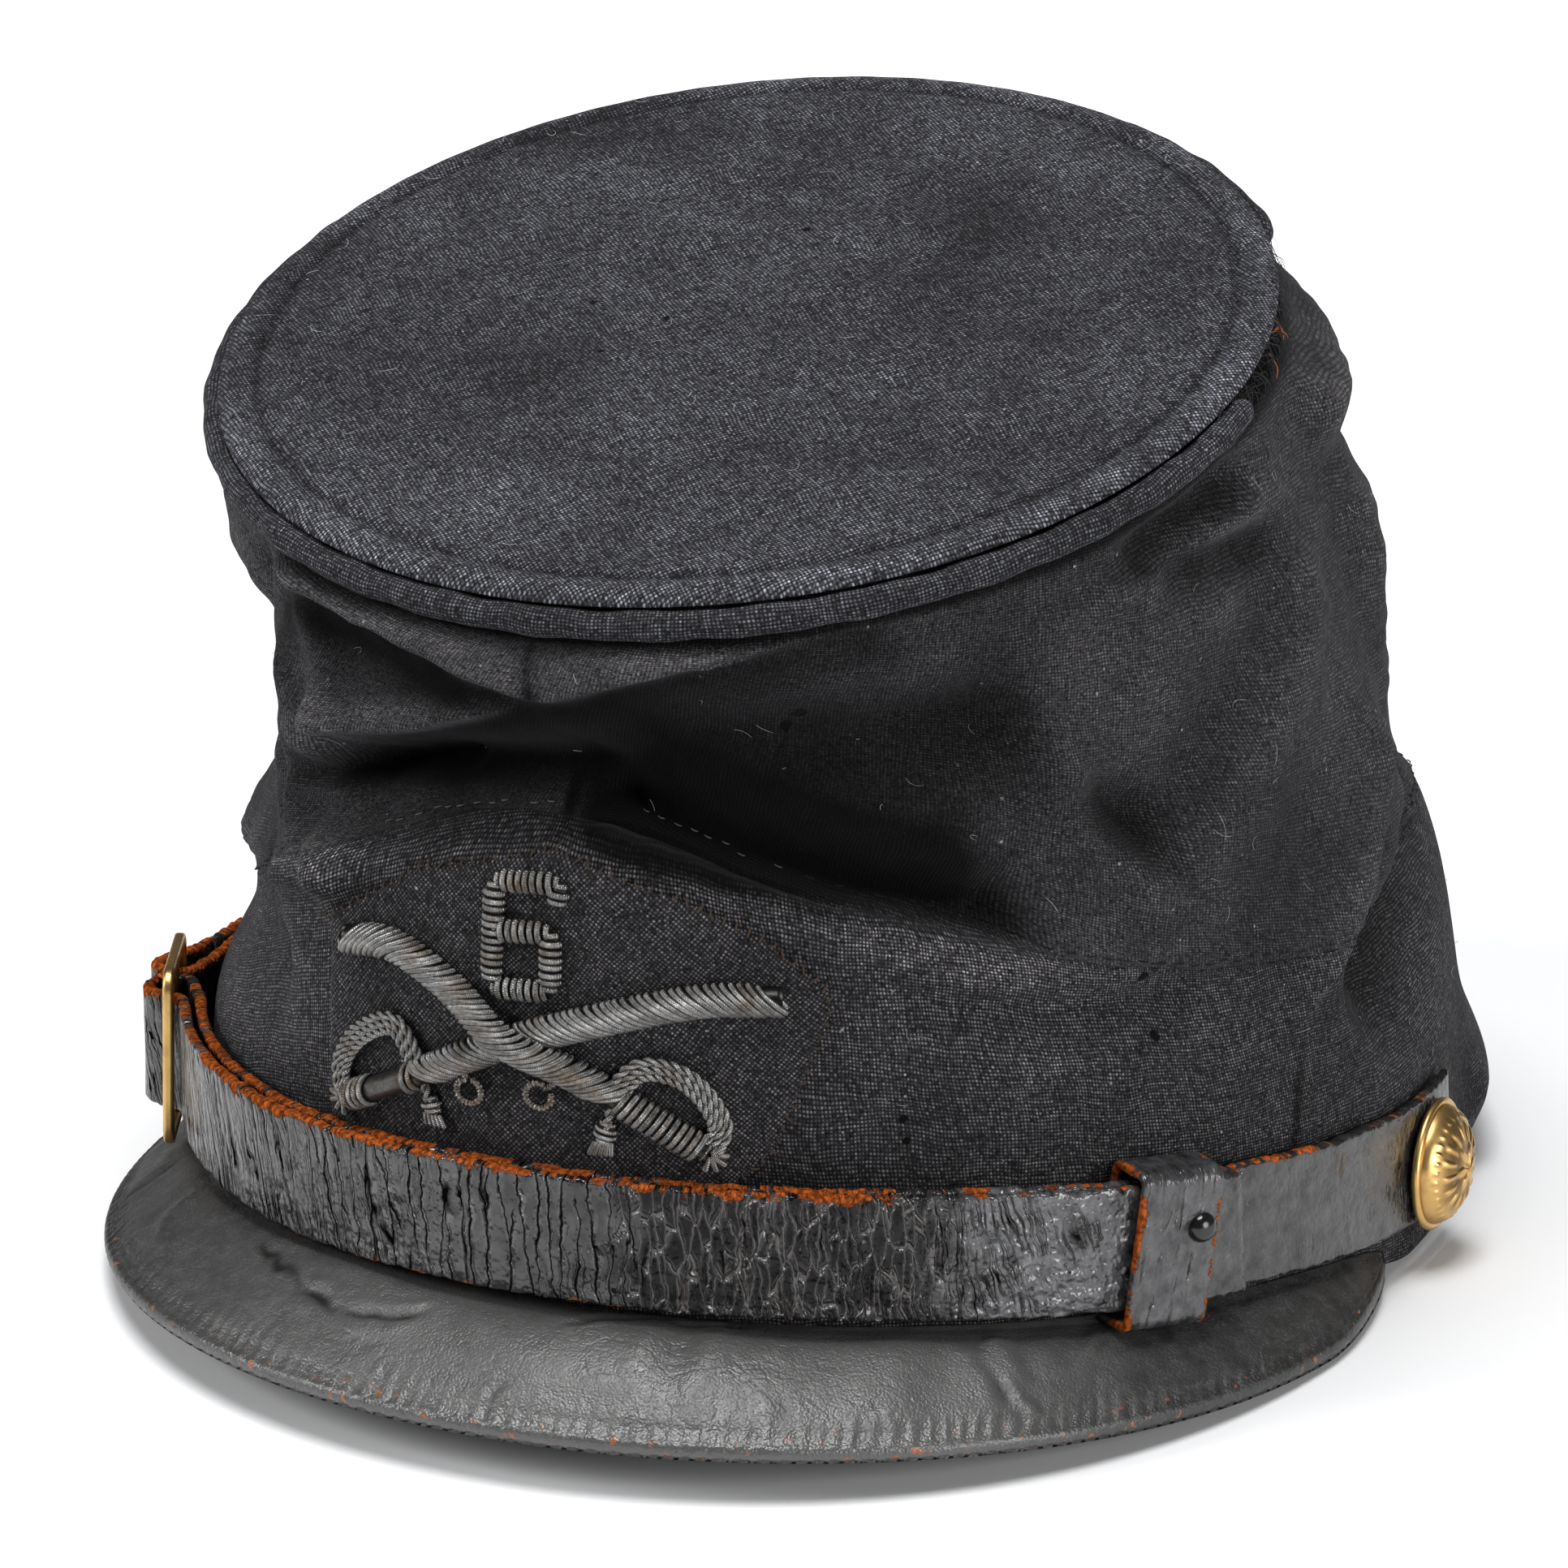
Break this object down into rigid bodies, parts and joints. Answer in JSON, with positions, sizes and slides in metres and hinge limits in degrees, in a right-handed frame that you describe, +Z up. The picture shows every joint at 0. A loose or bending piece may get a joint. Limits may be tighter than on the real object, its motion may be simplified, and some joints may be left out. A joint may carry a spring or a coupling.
{
  "type": "kepi cap",
  "caption": "Soft wool forage cap with a tilted round tip, slack folded crown, leather visor, buckled chin strap, brass side buttons and an embroidered front patch.",
  "frame": {"origin": "middle of the footprint, on the surface that the cap rests on", "axes": "+Z up, -Y towards the visor at the front, +X towards the wearer's left"},
  "size_m": [0.1813, 0.218, 0.1462],
  "materials": {
    "wool": "worn navy-black wool broadcloth, matt, with lint and faded patches",
    "patch_cloth": "black twill, matt",
    "visor_leather": "black leather, satin in the middle, napped and matt at the ends",
    "strap_leather": "glossy black enamelled leather, crackled, rust-brown where it is worn through",
    "brass": "old gilt brass, lightly rubbed",
    "bullion": "tarnished silver wire, dark grey with brown tints",
    "dark_metal": "black japanned metal"
  },
  "bodies": {
    "root": {"band": "wool", "crown": "wool", "tip": "wool", "welt": "wool", "visor": "visor_leather", "strap_long": "strap_leather", "strap_short": "strap_leather", "keeper": "strap_leather", "keeper_stud": "dark_metal", "buckle": "brass", "button_left": "brass", "button_right": "brass", "patch": "patch_cloth", "sabre_over": "bullion", "sabre_under": "bullion", "numeral": "bullion"}
  },
  "joints": []
}
